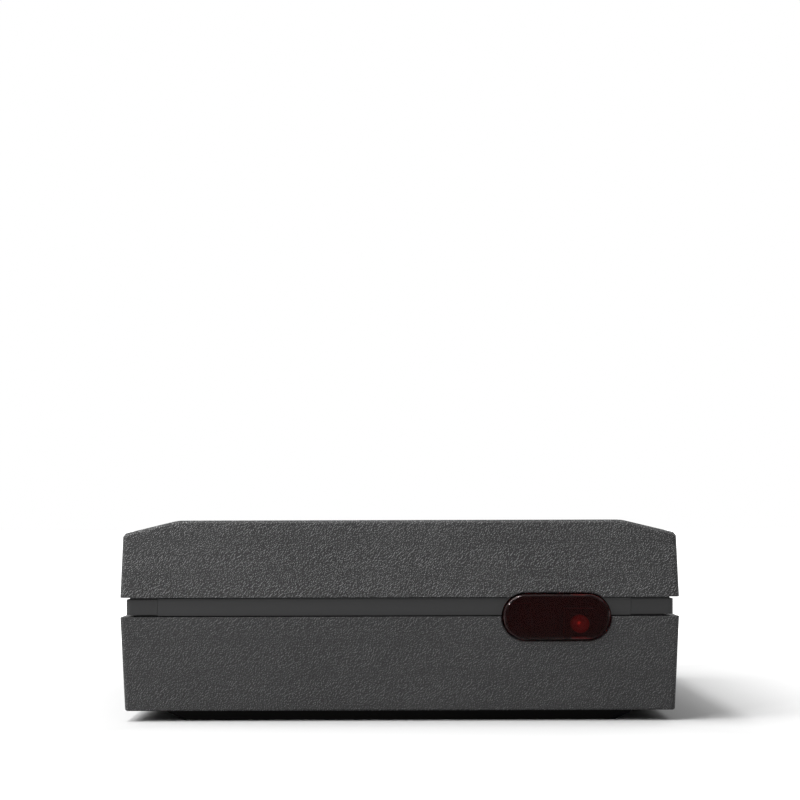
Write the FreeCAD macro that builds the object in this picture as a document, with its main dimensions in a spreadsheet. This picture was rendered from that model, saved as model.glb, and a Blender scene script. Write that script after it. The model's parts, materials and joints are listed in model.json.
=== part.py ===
import FreeCAD, Part

import os
import re

import Sketcher
from FreeCAD import Placement, Rotation, Vector

# Wireless audio transmitter: a square table-top box of two grained shells with a recessed belt between them,
# a dark red window in the belt at the front and the sockets and controls in a recessed panel at the back.
# Frame in millimetres: +Z up, +X to the right seen from the front, the front faces -Y.
# The origin is the middle of the foot pad's underside, on the table.

SIZES = [
    # outside of the case
    ("case_width", 92.0, "width at the rim and at the lower edge of the cover"),
    ("case_depth", 92.0, "depth at the same levels"),
    ("foot_height", 1.75, "table to underside of the case"),
    ("bottom_height", 15.45, "underside to rim of the bottom case"),
    ("belt_height", 3.2, "rim to the lower edge of the cover"),
    ("cover_height", 12.7, "lower edge to the flat top of the cover"),
    ("shoulder_drop", 2.2, "flat top down to the shoulder line"),
    ("shoulder_run", 9.1, "shoulder line in to the flat top"),
    ("side_draft", 2.45, "slope of the four sides in degrees"),
    ("case_wall", 2.0, "wall of both shells"),
    ("corner_radius", 0.8, "upright corners of the shells and the belt"),
    ("edge_bevel", 0.45, "other outer edges of the cover"),
    ("low_bevel", 0.2, "lower outer edge of the bottom case"),
    ("crest_radius", 7.0, "edge between shoulder and flat top"),
    # belt between the shells
    ("belt_recess", 0.9, "belt behind the faces of the shells"),
    ("belt_gap", 0.35, "open line between rim and belt at the corners"),
    ("belt_step", 0.6, "depth of the open line under the cover"),
    ("belt_step_height", 0.32, "open line under the cover at the corners"),
    ("strip_step_height", 0.18, "open line under the cover along the front strip"),
    ("strip_gap", 0.2, "open line between rim and front strip"),
    ("frame_play", 0.4, "belt frame to the inside of the shells"),
    ("frame_wall", 2.4, "wall of the belt frame"),
    ("frame_drop", 5.0, "belt frame below the rim"),
    ("frame_rise", 3.1, "belt frame above the lower edge of the cover"),
    ("strip_left_inset", 5.2, "left end of the front strip in from the side of the belt"),
    ("strip_right_inset", 7.0, "right end of the front strip in from the side of the belt"),
    ("strip_backing", 1.2, "backing plate of the front strip"),
    ("strip_play", 0.04, "front strip to the ends of its seat"),
    # window, lamp and receiver
    ("lens_inset", 20.2, "middle of the window in from the right side of the case"),
    ("lens_drop", 0.08, "middle of the window below the rim"),
    ("lens_width", 17.7, "length of the obround window"),
    ("lens_height", 7.5, "height of the obround window"),
    ("lens_proud", 0.45, "window in front of the case"),
    ("lens_play", 0.2, "window to its hole, all round"),
    ("lens_edge", 0.36, "front edge of the window, cut away at 45 degrees"),
    ("lens_blend", 0.15, "smaller cuts that blend that edge into front and side"),
    ("hole_edge", 0.2, "edge broken round the window's hole in the shells"),
    ("lens_flange", 1.6, "square flange beyond the window's outline"),
    ("flange_thickness", 1.2, "flange behind the belt frame"),
    ("lamp_across", 4.4, "lamp to the right of the window's middle"),
    ("lamp_drop", 1.5, "lamp below the window's middle"),
    ("lamp_radius", 1.5, "lamp body"),
    ("lamp_length", 5.3, "lamp from its base to its tip"),
    ("lamp_gap", 0.2, "tip of the lamp to the window"),
    ("sleeve_length", 2.0, "sleeve behind the lamp's base"),
    ("sleeve_hold", 1.8, "sleeve round the lamp in front of its base"),
    ("sleeve_half", 2.5, "half the side of the lamp's square sleeve"),
    ("sleeve_play", 0.05, "sleeve round the lamp"),
    ("lead_half", 0.25, "half the side of the lamp's square leads"),
    ("lead_pitch", 2.54, "lamp leads apart"),
    ("lead_end", 0.8, "lamp leads behind the indicator board"),
    ("receiver_across", 5.6, "receiver to the left of the window's middle"),
    ("receiver_width", 5.6, "receiver body"),
    ("receiver_height", 7.0, "receiver body"),
    ("receiver_depth", 3.2, "receiver body"),
    ("receiver_bow", 1.9, "radius of the bowed lens on the receiver"),
    ("indicator_shift", 0.6, "indicator board to the right of the window's middle"),
    ("indicator_width", 22.0, "indicator board"),
    ("indicator_height", 14.0, "indicator board"),
    ("header_across", 5.5, "header to the left of the indicator board's middle"),
    ("pin_pitch", 2.54, "pins of the indicator board's header"),
    ("pin_side", 0.64, "square pins of that header"),
    ("pin_end", 1.2, "pins behind their header"),
    # foot pad
    ("foot_side_inset", 6.9, "foot pad in from the sides of the case, where it meets it"),
    ("foot_front_inset", 2.0, "foot pad in from the front and the back of the case"),
    ("foot_slope", 3.3, "sides of the foot pad lean in by this"),
    ("foot_front_slope", 1.0, "front and back of the foot pad lean in by this"),
    ("foot_corner", 0.7, "corners cut off the foot pad"),
    ("foot_hole_radius", 3.4, "holes in the foot pad over the screw wells"),
    # case screws and their posts
    ("post_inset_across", 14.5, "screw posts in from the sides of the case"),
    ("post_inset_along", 21.5, "screw posts in from the front and the back"),
    ("post_half", 3.2, "half the side of the cover's square posts"),
    ("boss_half", 4.2, "half the side of the bottom case's square bosses"),
    ("boss_height", 7.2, "underside of the case to the top of its bosses"),
    ("well_radius", 3.1, "screw wells in the underside"),
    ("well_depth", 4.2, "screw wells in the underside"),
    ("screw_radius", 1.5, "case screws"),
    ("screw_length", 13.0, "case screws under the head"),
    ("screw_head", 2.8, "radius of the case screw's head"),
    ("screw_head_height", 2.0, "case screw's head"),
    ("screw_recess", 0.95, "depth of the cross recess"),
    ("recess_length", 3.1, "arms of the cross recess"),
    ("recess_width", 0.7, "arms of the cross recess"),
    ("screw_play", 0.2, "case screw in the boss"),
    ("thread_play", 0.05, "screws in their pilot holes"),
    ("rib_thickness", 1.2, "stiffening ribs under the flat top"),
    ("rib_depth", 3.0, "stiffening ribs under the flat top"),
    # main board
    ("standoff_height", 3.2, "floor to the underside of the main board"),
    ("standoff_half", 2.4, "half the side of the square standoffs"),
    ("board_thickness", 1.6, "all circuit boards but the radio module"),
    ("board_side_gap", 8.0, "main board in from the sides of the case"),
    ("board_front_gap", 7.8, "main board in from the front of the case"),
    ("board_panel_gap", 0.4, "main board to the rear panel"),
    ("board_post_gap", 0.5, "main board round the bosses"),
    ("board_screw_inset", 2.9, "board screws in from the board's edges"),
    ("board_screw_radius", 0.95, "board screws"),
    ("board_screw_length", 4.2, "board screws under the head"),
    ("board_screw_head", 2.2, "radius of the board screw's head"),
    ("board_screw_head_height", 1.5, "board screw's head"),
    ("pilot_extra", 0.2, "pilot holes deeper than the board screws"),
    # rear opening and panel
    ("panel_inset", 8.2, "ends of the rear panel in from the sides of the case"),
    ("panel_setback", 3.0, "rear panel behind the back of the case"),
    ("panel_thickness", 1.6, "rear panel"),
    ("panel_play", 0.1, "rear panel in its grooves"),
    ("groove_depth", 1.4, "grooves that hold the rear panel"),
    ("opening_margin", 1.3, "rear opening narrower than the panel, each end"),
    ("opening_sill", 4.2, "underside of the case to the rear opening"),
    ("opening_rise", 3.7, "lower edge of the cover to the top of the opening"),
    ("groove_lip", 1.8, "groove's wall inside the panel"),
    ("lintel_height", 3.0, "rib that holds the panel's upper edge"),
    # phono sockets
    ("phono_inset", 11.8, "outer phono socket in from the panel's end"),
    ("phono_pitch", 14.0, "phono sockets apart"),
    ("phono_level", 7.2, "phono sockets above the main board"),
    ("phono_block_height", 13.4, "phono housing"),
    ("phono_block_depth", 10.0, "phono housing behind the panel"),
    ("phono_block_side", 5.3, "phono housing beyond its sockets' middles"),
    ("barrel_radius", 4.15, "outside of the phono barrel"),
    ("barrel_length", 8.0, "phono barrel in front of its ring"),
    ("barrel_wall", 0.6, "wall of the phono barrel"),
    ("barrel_root", 0.25, "root of the barrel thinner than the barrel"),
    ("root_length", 4.8, "root of the barrel in its insert"),
    ("ring_radius", 4.9, "coloured ring round the barrel"),
    ("ring_proud", 0.8, "coloured ring in front of the panel"),
    ("ring_play", 0.15, "coloured ring in the panel's hole"),
    ("insert_length", 7.8, "insert from its back to the ring's face"),
    ("insert_play", 0.05, "between the nested round pieces"),
    ("core_short", 0.4, "core behind the barrel's end"),
    ("contact_radius", 1.65, "bore of the centre contact"),
    ("contact_wall", 0.4, "wall of the centre contact"),
    ("contact_length", 11.2, "centre contact"),
    ("contact_short", 0.8, "centre contact behind the barrel's end"),
    ("contact_floor", 1.5, "closed back of the centre contact"),
    # DC inlet
    ("inlet_inset", 10.0, "DC inlet in from the panel's end"),
    ("inlet_width", 9.0, "DC inlet housing"),
    ("inlet_height", 11.0, "DC inlet housing"),
    ("inlet_depth", 12.4, "DC inlet housing behind the panel"),
    ("inlet_level", 6.3, "DC inlet above the main board"),
    ("inlet_bore", 3.15, "radius of the DC inlet's bore"),
    ("inlet_bore_depth", 10.0, "DC inlet's bore"),
    ("inlet_nose", 4.3, "radius of the inlet's nose in the panel"),
    ("inlet_pin", 1.05, "radius of the inlet's centre pin"),
    ("inlet_pin_short", 1.0, "centre pin behind the mouth of the bore"),
    ("nose_play", 0.15, "inlet's nose in the panel's hole"),
    # channel switch
    ("channel_inset", 28.5, "channel switch in from the panel's end"),
    ("control_level", 3.3, "switch and button above the main board"),
    ("channel_width", 9.0, "channel switch body"),
    ("channel_depth", 5.2, "channel switch body"),
    ("channel_travel", 1.6, "lever to each side of its middle position"),
    ("lever_width", 2.0, "lever of the channel switch"),
    ("lever_height", 2.0, "lever of the channel switch"),
    ("lever_proud", 2.2, "lever in front of the panel"),
    ("carriage_extra", 0.8, "carriage beyond the lever, each side"),
    ("carriage_height", 3.0, "carriage of the lever"),
    ("carriage_depth", 2.2, "carriage of the lever"),
    ("slide_play", 0.2, "play round the lever and its carriage"),
    ("frame_plate", 0.8, "stamped frame on the channel switch"),
    # link button
    ("button_inset", 19.2, "link button in from the panel's end"),
    ("button_radius", 2.2, "link button"),
    ("button_proud", 1.4, "link button in front of the panel"),
    ("button_travel", 0.6, "link button's travel"),
    ("button_flange", 0.7, "flange that keeps the button in"),
    ("button_flange_thickness", 0.8, "flange that keeps the button in"),
    ("button_play", 0.3, "round the button and behind the panel"),
    ("button_edge", 0.4, "broken edge of the button"),
    ("plunger_half", 1.4, "half the side of the link switch's square plunger"),
    ("plunger_length", 2.0, "plunger of the link switch"),
    ("tact_side", 6.4, "link switch body"),
    ("tact_depth", 3.6, "link switch body"),
    # parts on the main board
    ("module_width", 24.0, "radio module"),
    ("module_length", 32.0, "radio module"),
    ("module_thickness", 1.0, "radio module"),
    ("module_inset", 2.0, "radio module in from the board's side"),
    ("can_width", 20.0, "shield can"),
    ("can_length", 24.0, "shield can"),
    ("can_height", 3.4, "shield can"),
    ("can_wall", 0.4, "shield can"),
    ("antenna_width", 22.0, "antenna plate"),
    ("antenna_depth", 5.0, "antenna plate"),
    ("antenna_height", 8.5, "antenna plate above the main board"),
    ("antenna_sheet", 0.5, "antenna plate"),
    ("antenna_inset", 1.0, "antenna plate in from the front of the board"),
    ("antenna_leg", 1.5, "legs of the antenna plate"),
    ("antenna_leg_pitch", 4.5, "legs of the antenna plate apart"),
    ("processor_across", 3.0, "signal processor right of the middle"),
    ("processor_along", -5.0, "signal processor behind the middle"),
    ("processor_side", 14.0, "signal processor"),
    ("processor_height", 1.6, "signal processor"),
    ("converter_gap", 1.25, "audio converter from the radio module"),
    ("converter_along", 12.0, "audio converter behind the middle"),
    ("converter_width", 7.5, "audio converter"),
    ("converter_length", 10.3, "audio converter"),
    ("converter_height", 2.4, "audio converter"),
    ("crystal_across", 3.0, "crystal right of the middle"),
    ("crystal_along", -20.0, "crystal behind the middle"),
    ("crystal_length", 11.0, "crystal"),
    ("crystal_width", 4.6, "crystal"),
    ("crystal_height", 3.5, "crystal"),
    ("regulator_across", 18.0, "voltage regulator right of the middle"),
    ("regulator_along", 19.0, "voltage regulator behind the middle"),
    ("regulator_width", 10.0, "voltage regulator"),
    ("regulator_depth", 4.5, "voltage regulator"),
    ("regulator_body", 9.0, "moulded body of the regulator"),
    ("leg_length", 3.0, "legs of the regulator"),
    ("leg_width", 0.8, "legs of the regulator"),
    ("leg_thickness", 0.5, "legs of the regulator"),
    ("tab_height", 6.2, "metal tab of the regulator"),
    ("tab_thickness", 1.3, "metal tab of the regulator"),
    ("tab_hole", 1.8, "radius of the hole in the metal tab"),
    ("choke_across", 20.0, "power choke right of the middle"),
    ("choke_along", -10.0, "power choke behind the middle"),
    ("choke_side", 12.0, "power choke"),
    ("choke_height", 6.5, "power choke"),
    ("power_can_inset", 9.0, "outer power capacitor in from the board's side"),
    ("power_can_along", 6.0, "power capacitors behind the middle"),
    ("power_can_pitch", 10.0, "power capacitors apart"),
    ("power_can_radius", 4.0, "power capacitors"),
    ("power_can_height", 11.5, "power capacitors"),
    ("film_across", 6.3, "middle of the row of signal capacitors left of the middle"),
    ("film_along", 22.5, "signal capacitors behind the middle"),
    ("film_pitch", 6.2, "signal capacitors apart"),
    ("film_width", 4.5, "signal capacitors"),
    ("film_length", 7.2, "signal capacitors"),
    ("film_height", 7.5, "signal capacitors"),
]

DOC = FreeCAD.newDocument("wireless_audio_transmitter")
SHEET = DOC.addObject("Spreadsheet::Sheet", "Sizes")
for row, (alias, size, meaning) in enumerate(SIZES, start=1):
    SHEET.set(f"A{row}", alias)
    SHEET.set(f"B{row}", str(size))
    SHEET.setAlias(f"B{row}", alias)
    SHEET.set(f"C{row}", meaning)
DOC.recompute()

PIECES = {}
NEAR = 0.02
HEADER_PINS = 5
PLANES = {"XY": "XY_Plane", "XZ": "XZ_Plane", "YZ": "YZ_Plane"}

# Levels, faces and places worked out from the sheet, as formulas that the pieces share
HALF_WIDTH = "(case_width / 2)"
HALF_DEPTH = "(case_depth / 2)"
UNDERSIDE = "foot_height"
FLOOR = "(foot_height + case_wall)"
RIM = "(foot_height + bottom_height)"
LIP = f"({RIM} + belt_height)"
TOP = f"({LIP} + cover_height)"
SHOULDER = f"({TOP} - shoulder_drop)"
BOSS_TOP = "(foot_height + boss_height)"
WALL_INSIDE = f"({HALF_DEPTH} - case_wall)"
INNER_SIDE = f"({HALF_WIDTH} - case_wall - frame_play)"
INNER_FRONT = f"({HALF_DEPTH} - case_wall - frame_play)"
BELT_SIDE = f"({HALF_WIDTH} - belt_recess)"
BELT_FRONT = f"({HALF_DEPTH} - belt_recess)"
STRIP_LEFT = f"({BELT_SIDE} - strip_left_inset)"
STRIP_RIGHT = f"({BELT_SIDE} - strip_right_inset)"
FRAME_LOW = f"({RIM} - frame_drop)"
FRAME_HIGH = f"({LIP} + frame_rise)"
FRAME_BACK = f"({INNER_FRONT} - frame_wall)"
LENS_X = f"({HALF_WIDTH} - lens_inset)"
LENS_LEVEL = f"({RIM} - lens_drop)"
LENS_BACK = f"({FRAME_BACK} - flange_thickness)"
LAMP_X = f"({LENS_X} + lamp_across)"
LAMP_LEVEL = f"({LENS_LEVEL} - lamp_drop)"
LAMP_BASE = f"({LENS_BACK} - lamp_gap - lamp_length)"
INDICATOR_FACE = f"({LAMP_BASE} - sleeve_length)"
FOOT_SIDE = f"({HALF_WIDTH} - foot_side_inset)"
FOOT_FRONT = f"({HALF_DEPTH} - foot_front_inset)"
POST_X = f"({HALF_WIDTH} - post_inset_across)"
POST_Y = f"({HALF_DEPTH} - post_inset_along)"
PANEL_OUT = f"({HALF_DEPTH} - panel_setback)"
PANEL_IN = f"({PANEL_OUT} - panel_thickness)"
PANEL_END = f"({HALF_WIDTH} - panel_inset)"
OPENING_END = f"({PANEL_END} - opening_margin)"
OPENING_LOW = "(foot_height + opening_sill)"
OPENING_HIGH = f"({LIP} + opening_rise)"
BOARD_LOW = f"({FLOOR} + standoff_height)"
BOARD_TOP = f"({BOARD_LOW} + board_thickness)"
BOARD_SIDE = f"({HALF_WIDTH} - board_side_gap)"
MODULE_LEFT = f"(module_inset - {BOARD_SIDE})"
MODULE_RIGHT = f"({MODULE_LEFT} + module_width)"
BOARD_FRONT = f"(board_front_gap - {HALF_DEPTH})"
BOARD_REAR = f"({PANEL_IN} - board_panel_gap)"
PHONO_X = [f"(phono_inset - {PANEL_END})", f"(phono_inset + phono_pitch - {PANEL_END})"]
PHONO_LEVEL = f"({BOARD_TOP} + phono_level)"
INLET_X = f"({PANEL_END} - inlet_inset)"
INLET_LEVEL = f"({BOARD_TOP} + inlet_level)"
BUTTON_X = f"({PANEL_END} - button_inset)"
CHANNEL_X = f"({PANEL_END} - channel_inset)"
CONTROL_LEVEL = f"({BOARD_TOP} + control_level)"
POSTS = [(f"{a}{POST_X}", f"{b}{POST_Y}") for a in ("-", "") for b in ("-", "")]
BOARD_SCREWS = [
    (f"{side}({BOARD_SIDE} - board_screw_inset)", along)
    for side in ("-", "")
    for along in (f"({BOARD_FRONT} + board_screw_inset)", f"({BOARD_REAR} - board_screw_inset)")
]


def formula(text):
    """The text with each size named as the sheet's cell."""
    return re.sub(r"\b([a-z]+_[a-z_]+)\b", r"Sizes.\1", text)


def number(text):
    return float(SHEET.evalExpression(formula(text)))


def span(middle, half):
    """Both ends of a stretch that reaches this far to each side of its middle."""
    return f"{middle} - ({half})", f"{middle} + ({half})"


def bind(thing, **formulas):
    for name, text in formulas.items():
        thing.setExpression(name, formula(text))


def place(thing, x="0", y="0", z="0", rotation=None):
    thing.Placement = Placement(Vector(0, 0, 0), rotation or Rotation())
    for axis, text in (("x", x), ("y", y), ("z", z)):
        thing.setExpression(f"Placement.Base.{axis}", formula(text))


def keep(name, thing):
    """The thing is a finished piece under this name."""
    thing.Label = name
    PIECES[name] = thing
    return thing


# Sketches and features of the moulded and turned pieces


def new_body(name):
    return keep(name, DOC.addObject("PartDesign::Body", name))


def new_sketch(body, plane, level="0"):
    """A sketch on one of the body's planes, moved along that plane's axis to the level."""
    sketch = body.newObject("Sketcher::SketchObject", body.Name + "_sketch")
    role = PLANES[plane]
    support = [f for f in body.Origin.OriginFeatures if f.Role == role][0]
    sketch.AttachmentSupport = [(support, "")]
    sketch.MapMode = "FlatFace"
    # the XZ plane's normal points to -Y
    offset = f"-({level})" if plane == "XZ" else level
    sketch.setExpression("AttachmentOffset.Base.z", formula(offset))
    return sketch


def pin_point(sketch, geometry, point, x, y):
    """Hold a point of the sketch at x, y from its origin."""
    for kind, text in (("DistanceX", x), ("DistanceY", y)):
        made = sketch.addConstraint(Sketcher.Constraint(kind, -1, 1, geometry, point, number(text)))
        sketch.setExpression(f"Constraints[{made}]", formula(text))


def outline(sketch, points):
    """A closed outline of straight lines through the points."""
    first = sketch.GeometryCount
    count = len(points)
    places = [Vector(number(x), number(y), 0) for x, y in points]
    for i in range(count):
        sketch.addGeometry(Part.LineSegment(places[i], places[(i + 1) % count]), False)
    for i in range(count):
        sketch.addConstraint(Sketcher.Constraint("Coincident", first + i, 2, first + (i + 1) % count, 1))
    for i, (x, y) in enumerate(points):
        pin_point(sketch, first + i, 1, x, y)


def rectangle(sketch, left, right, low, high):
    outline(sketch, [(left, low), (right, low), (right, high), (left, high)])


def square(sketch, x, y, half):
    rectangle(sketch, *span(x, half), *span(y, half))


def octagon(sketch, x, y, radius):
    """A hole for an eight-sided shank, where neither is seen."""
    outline(sketch, [
        (f"{x} + ({radius}) * cos({angle})", f"{y} + ({radius}) * sin({angle})")
        for angle in range(0, 360, 45)
    ])


def circle(sketch, x, y, radius):
    centre = Vector(number(x), number(y), 0)
    made = sketch.addGeometry(Part.Circle(centre, Vector(0, 0, 1), number(radius)), False)
    pin_point(sketch, made, 3, x, y)
    size = sketch.addConstraint(Sketcher.Constraint("Radius", made, number(radius)))
    sketch.setExpression(f"Constraints[{size}]", formula(radius))


def obround(sketch, x, y, width, height):
    """A slot with round ends, long in the sketch's x direction."""
    radius = f"(({height}) / 2)"
    reach = f"((({width}) - ({height})) / 2)"
    left, right, level, r = number(f"{x} - {reach}"), number(f"{x} + {reach}"), number(y), number(radius)
    up = Vector(0, 0, 1)
    low_line = Part.LineSegment(Vector(left, level - r, 0), Vector(right, level - r, 0))
    right_end = Part.ArcOfCircle(Part.Circle(Vector(right, level, 0), up, r), -1.5707963, 1.5707963)
    high_line = Part.LineSegment(Vector(right, level + r, 0), Vector(left, level + r, 0))
    left_end = Part.ArcOfCircle(Part.Circle(Vector(left, level, 0), up, r), 1.5707963, 4.7123890)
    first = sketch.GeometryCount
    for piece in (low_line, right_end, high_line, left_end):
        sketch.addGeometry(piece, False)
    for i in range(4):
        sketch.addConstraint(Sketcher.Constraint("Tangent", first + i, 2, first + (i + 1) % 4, 1))
    sketch.addConstraint(Sketcher.Constraint("Equal", first + 1, first + 3))
    size = sketch.addConstraint(Sketcher.Constraint("Radius", first + 1, r))
    sketch.setExpression(f"Constraints[{size}]", formula(radius))
    pin_point(sketch, first + 1, 3, f"{x} + {reach}", y)
    pin_point(sketch, first + 3, 3, f"{x} - {reach}", y)


def pad(body, sketch, length, backwards=False, both_ways=False):
    made = body.newObject("PartDesign::Pad", body.Name + "_pad")
    made.Profile = sketch
    made.Midplane = both_ways
    made.Reversed = backwards
    bind(made, Length=length)
    DOC.recompute()
    return made


def pocket(body, sketch, length, backwards=False, both_ways=False):
    """Cut against the sketch's normal, or along it where backwards, and stop if nothing was cut."""
    before = body.Tip.Shape.Volume
    made = body.newObject("PartDesign::Pocket", body.Name + "_pocket")
    made.Profile = sketch
    made.Midplane = both_ways
    made.Reversed = backwards
    bind(made, Length=length)
    DOC.recompute()
    if made.Shape.Volume > before - 1e-6:
        raise RuntimeError(f"{made.Name} cuts nothing")
    return made


def revolve(body, sketch):
    made = body.newObject("PartDesign::Revolution", body.Name + "_revolution")
    made.Profile = sketch
    made.ReferenceAxis = (sketch, ["H_Axis"])
    made.Angle = 360
    DOC.recompute()
    return made


def dress(body, kind, wanted, **size):
    """Dress the edges whose middle points are wanted."""
    base = body.Tip
    names = [
        f"Edge{i}" for i, edge in enumerate(base.Shape.Edges, start=1)
        if wanted(edge.valueAt((edge.FirstParameter + edge.LastParameter) / 2))
    ]
    if not names:
        raise RuntimeError(f"{body.Name} has no such edge")
    made = body.newObject("PartDesign::" + kind, f"{body.Name}_{kind.lower()}")
    made.Base = (base, names)
    bind(made, **size)
    DOC.recompute()
    if not made.isValid():
        raise RuntimeError(f"{made.Name} can't be made")
    return made


def round_off(body, radius, wanted):
    return dress(body, "Fillet", wanted, Radius=radius)


def bevel(body, size, wanted):
    return dress(body, "Chamfer", wanted, Size=size)


# Plain blocks and rods of the parts on the boards


def block(name, x, y, z):
    made = DOC.addObject("Part::Box", name)
    bind(made, Length=f"({x[1]}) - ({x[0]})", Width=f"({y[1]}) - ({y[0]})", Height=f"({z[1]}) - ({z[0]})")
    place(made, x[0], y[0], z[0])
    return made


def centred_block(name, x, y, z, width, depth):
    """A block round a middle at x, y, between the levels z."""
    return block(name, span(x, f"{width} / 2"), span(y, f"{depth} / 2"), z)


def upright_rod(name, x, y, z, radius):
    made = DOC.addObject("Part::Cylinder", name)
    bind(made, Radius=radius, Height=f"({z[1]}) - ({z[0]})")
    place(made, x, y, z[0])
    return made


def prism(name, x, y, z, radius, sides=8):
    """An upright rod with flat sides, for heads, shanks and cans that stay hidden."""
    made = DOC.addObject("Part::Prism", name)
    made.Polygon = sides
    bind(made, Circumradius=radius, Height=f"({z[1]}) - ({z[0]})")
    place(made, x, y, z[0])
    return made


def level_rod(name, x, y, z, radius):
    """A rod along Y, from y[0] to y[1]."""
    made = DOC.addObject("Part::Cylinder", name)
    bind(made, Radius=radius, Height=f"({y[1]}) - ({y[0]})")
    place(made, x, y[0], z, Rotation(Vector(1, 0, 0), -90))
    return made


def join(name, pieces):
    made = DOC.addObject("Part::MultiFuse", name)
    made.Shapes = pieces
    return made


def cut(name, base, tool):
    made = DOC.addObject("Part::Cut", name)
    made.Base = base
    made.Tool = tool
    return made


def group(name, pieces):
    """Separate solids that share one node."""
    made = DOC.addObject("Part::Compound", name)
    made.Links = pieces
    return made


# Shells


def lean_ends(body, half_depth, wide, narrow, lean):
    """Cut the front and the back so that they lean in by this much from the wide to the narrow level."""
    step = "1" if number(narrow) > number(wide) else "-1"
    past = f"({narrow} + {step})"
    past_lean = f"({lean} * ({past} - {wide}) / ({narrow} - {wide}))"
    cutter = new_sketch(body, "YZ")
    for side in ("", "-"):
        outline(cutter, [
            (f"{side}({half_depth})", wide),
            (f"{side}({half_depth} + 1)", wide),
            (f"{side}({half_depth} + 1)", past),
            (f"{side}({half_depth} - {past_lean})", past),
        ])
    pocket(body, cutter, "case_width + 2", both_ways=True)


def hollow(body, open_level):
    """Hollow the shell to its wall, open at the given level."""
    base = body.Tip
    level = number(open_level)
    names = [
        f"Face{i}" for i, face in enumerate(base.Shape.Faces, start=1)
        if abs(face.BoundBox.ZMin - level) < 0.01 and abs(face.BoundBox.ZMax - level) < 0.01
    ]
    made = body.newObject("PartDesign::Thickness", body.Name + "_wall")
    made.Base = (base, names)
    made.Reversed = True
    made.Join = "Intersection"
    bind(made, Value="case_wall")
    DOC.recompute()


def window_outline(sketch, beyond):
    """The window's outline, this much wider all round."""
    obround(sketch, LENS_X, LENS_LEVEL, f"lens_width + 2 * {beyond}", f"lens_height + 2 * {beyond}")


def cut_openings(body):
    """The window's notch at the front, its outer edge broken, and the connector opening at the back."""
    notch = new_sketch(body, "XZ", f"-({FRAME_BACK})")
    window_outline(notch, "lens_play")
    pocket(body, notch, "case_wall + frame_play + frame_wall + 1", backwards=True)
    front, middle, level = -number(WALL_INSIDE), number(LENS_X), number(LENS_LEVEL)
    wide = number("lens_width / 2 + lens_play") + NEAR
    tall = number("lens_height / 2 + lens_play") + NEAR
    ends = (number(RIM), number(LIP))

    def on_notch(m):
        inside = m.y < front - 1 and abs(m.x - middle) < wide and abs(m.z - level) < tall
        return inside and all(abs(m.z - end) > NEAR for end in ends)

    bevel(body, "hole_edge", on_notch)
    opening = new_sketch(body, "XZ", PANEL_IN)
    rectangle(opening, f"-{OPENING_END}", OPENING_END, OPENING_LOW, OPENING_HIGH)
    pocket(body, opening, "panel_thickness + panel_setback + 1")


def make_top_cover():
    body = new_body("top_cover")
    profile = new_sketch(body, "XZ")
    shoulder_half = f"({HALF_WIDTH} - ({SHOULDER} - {LIP}) * tan(side_draft))"
    crest_half = f"({shoulder_half} - shoulder_run)"
    outline(profile, [
        (f"-{HALF_WIDTH}", LIP),
        (HALF_WIDTH, LIP),
        (shoulder_half, SHOULDER),
        (crest_half, TOP),
        (f"-{crest_half}", TOP),
        (f"-{shoulder_half}", SHOULDER),
    ])
    pad(body, profile, "case_depth", both_ways=True)
    lean_ends(body, HALF_DEPTH, LIP, TOP, "cover_height * tan(side_draft)")
    hollow(body, LIP)
    crest, top, shoulder, lip = number(crest_half), number(TOP), number(SHOULDER), number(LIP)
    round_off(body, "crest_radius", lambda m: m.z > top - NEAR and abs(abs(m.x) - crest) < NEAR)
    side = number(shoulder_half)
    front = number(f"{HALF_DEPTH} - cover_height * tan(side_draft)")
    round_off(body, "corner_radius", lambda m: lip + NEAR < m.z < shoulder - NEAR and abs(m.y) > front)
    bevel(body, "edge_bevel",
          lambda m: m.z > shoulder - 1 and (abs(m.x) > side - NEAR or abs(m.y) > front - NEAR))
    cut_openings(body)
    lintel = new_sketch(body, "YZ")
    outline(lintel, [
        (f"{PANEL_IN} - groove_lip", OPENING_HIGH),
        (f"{PANEL_IN} - panel_play", OPENING_HIGH),
        (f"{PANEL_IN} - panel_play", f"{OPENING_HIGH} + groove_depth"),
        (f"{PANEL_OUT} + panel_play", f"{OPENING_HIGH} + groove_depth"),
        (f"{PANEL_OUT} + panel_play", OPENING_HIGH),
        (WALL_INSIDE, OPENING_HIGH),
        (WALL_INSIDE, f"{OPENING_HIGH} + lintel_height"),
        (f"{PANEL_IN} - groove_lip", f"{OPENING_HIGH} + lintel_height"),
    ])
    pad(body, lintel, f"2 * ({PANEL_END} + panel_play)", both_ways=True)
    posts = new_sketch(body, "XY", BOSS_TOP)
    for x, y in POSTS:
        square(posts, x, y, "post_half")
    pad(body, posts, f"{TOP} - case_wall / 2 - {BOSS_TOP}")
    ribs = new_sketch(body, "XY", f"{TOP} - case_wall - rib_depth")
    for along in (f"-{POST_Y}", POST_Y):
        rectangle(ribs, f"-{POST_X}", POST_X, *span(along, "rib_thickness / 2"))
    pad(body, ribs, "rib_depth + case_wall / 2")
    pilots = new_sketch(body, "XY", BOSS_TOP)
    for x, y in POSTS:
        octagon(pilots, x, y, "screw_radius + thread_play")
    pocket(body, pilots, "screw_length", backwards=True)


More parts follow.
